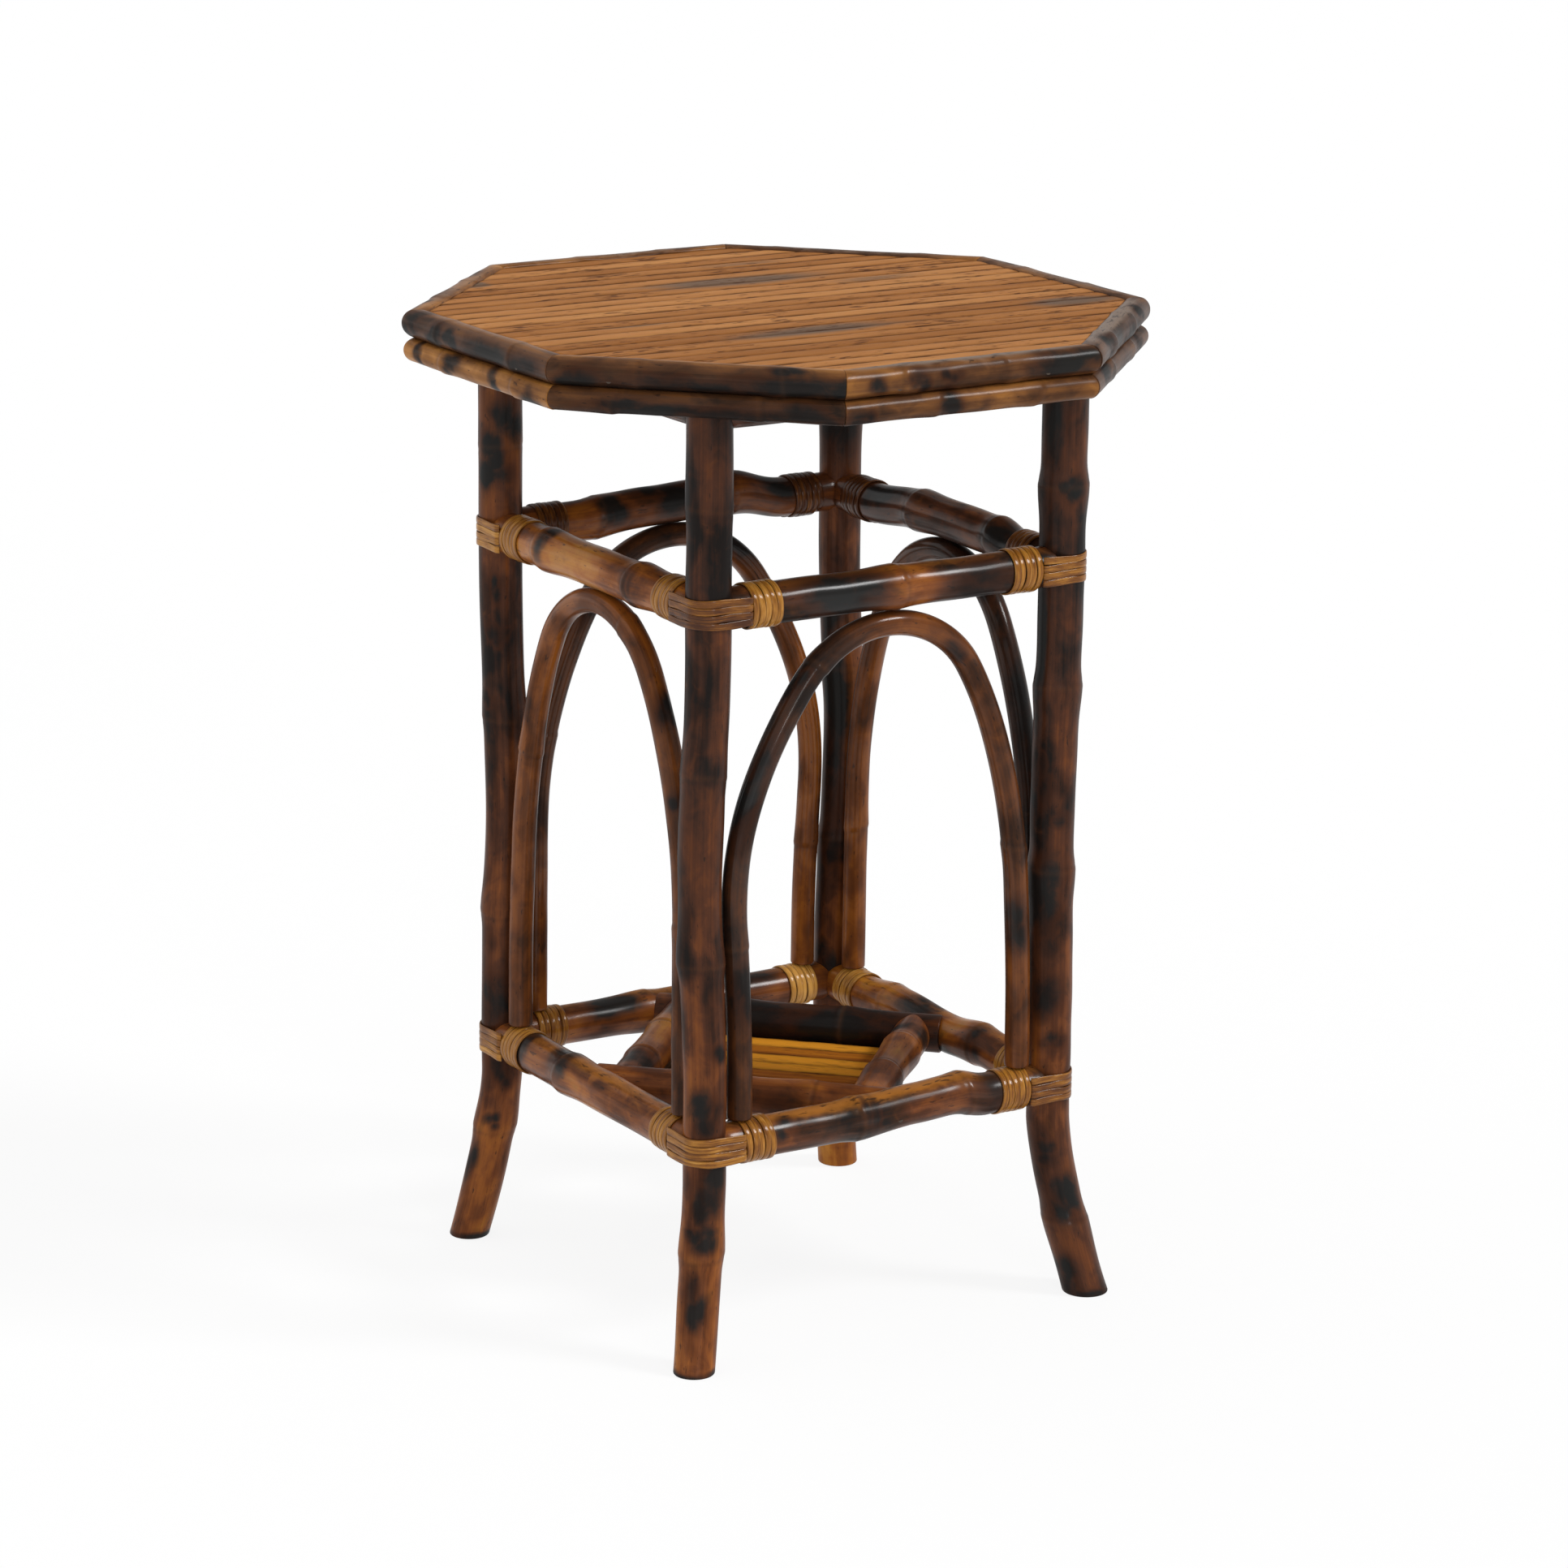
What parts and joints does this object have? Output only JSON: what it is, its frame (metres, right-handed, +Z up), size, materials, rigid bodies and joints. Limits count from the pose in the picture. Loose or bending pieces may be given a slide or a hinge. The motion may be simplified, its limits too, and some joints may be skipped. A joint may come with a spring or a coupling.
{
  "type": "rattan side table",
  "caption": "Octagonal side table of burnt rattan: slatted top with doubled cane rim, cane legs and stretchers with wrapped joints, bent cane arches and a low shelf.",
  "frame": {"origin": "on the floor under the middle of the top", "axes": "+Z up; +X along the front stretchers to the right; front is -Y"},
  "size_m": [0.456, 0.456, 0.66],
  "materials": {
    "burnt_rattan": "gloss lacquer",
    "arch_rattan": "gloss lacquer",
    "rim_rattan": "gloss lacquer",
    "slat_rattan": "satin lacquer",
    "binding_cane": "satin lacquer",
    "board": "plain",
    "steel": "zinc"
  },
  "bodies": {
    "root": {"arch_back": "arch_rattan", "arch_front": "arch_rattan", "arch_left": "arch_rattan", "arch_right": "arch_rattan", "crown_brads": "steel", "frame_screws": "steel", "leg_back_left": "burnt_rattan", "leg_back_right": "burnt_rattan", "leg_front_left": "burnt_rattan", "leg_front_right": "burnt_rattan", "lower_binding_back_left": "binding_cane", "lower_binding_back_right": "binding_cane", "lower_binding_front_left": "binding_cane", "lower_binding_front_right": "binding_cane", "lower_stretcher_back": "burnt_rattan", "lower_stretcher_front": "burnt_rattan", "lower_stretcher_left": "burnt_rattan", "lower_stretcher_right": "burnt_rattan", "rim_brads": "steel", "shelf_board": "board", "shelf_board_brads": "steel", "shelf_brads": "steel", "shelf_rim_back_left": "burnt_rattan", "shelf_rim_back_right": "burnt_rattan", "shelf_rim_front_left": "burnt_rattan", "shelf_rim_front_right": "burnt_rattan", "shelf_slats": "slat_rattan", "top_board": "board", "top_rail_back": "burnt_rattan", "top_rail_front": "burnt_rattan", "top_rail_left": "burnt_rattan", "top_rail_right": "burnt_rattan", "top_rim_back": "rim_rattan", "top_rim_back_left": "rim_rattan", "top_rim_back_right": "rim_rattan", "top_rim_front": "rim_rattan", "top_rim_front_left": "rim_rattan", "top_rim_front_right": "rim_rattan", "top_rim_left": "rim_rattan", "top_rim_right": "rim_rattan", "top_screws": "steel", "top_slats": "slat_rattan", "under_rim_back": "rim_rattan", "under_rim_back_left": "rim_rattan", "under_rim_back_right": "rim_rattan", "under_rim_brads": "steel", "under_rim_front": "rim_rattan", "under_rim_front_left": "rim_rattan", "under_rim_front_right": "rim_rattan", "under_rim_left": "rim_rattan", "under_rim_right": "rim_rattan", "upper_binding_back_left": "binding_cane", "upper_binding_back_right": "binding_cane", "upper_binding_front_left": "binding_cane", "upper_binding_front_right": "binding_cane", "upper_stretcher_back": "burnt_rattan", "upper_stretcher_front": "burnt_rattan", "upper_stretcher_left": "burnt_rattan", "upper_stretcher_right": "burnt_rattan"}
  },
  "joints": []
}
